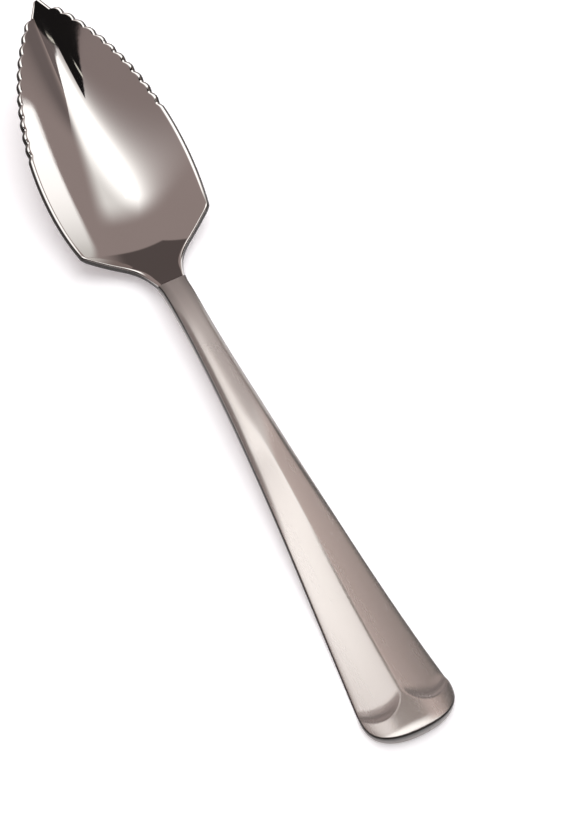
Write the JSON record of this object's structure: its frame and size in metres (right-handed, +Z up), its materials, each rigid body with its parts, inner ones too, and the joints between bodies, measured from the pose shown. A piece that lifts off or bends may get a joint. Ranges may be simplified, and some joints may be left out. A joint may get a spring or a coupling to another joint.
{
  "type": "grapefruit spoon",
  "caption": "Steel grapefruit spoon with a pointed, deep bowl whose front rim is toothed for cutting fruit segments, on an arched handle with a ridged grip and rounded end.",
  "frame": {"origin": "centre of the bounding box, on the table the spoon lies on", "axes": "+Y from the handle end to the tip, +X to the right across the bowl, +Z up"},
  "size_m": [0.0286, 0.155, 0.0164],
  "materials": {
    "polished_steel": "mirror polished stainless steel",
    "satin_steel": "satin polished stainless steel"
  },
  "bodies": {
    "root": {"bowl": "polished_steel", "handle": "satin_steel"}
  },
  "joints": []
}
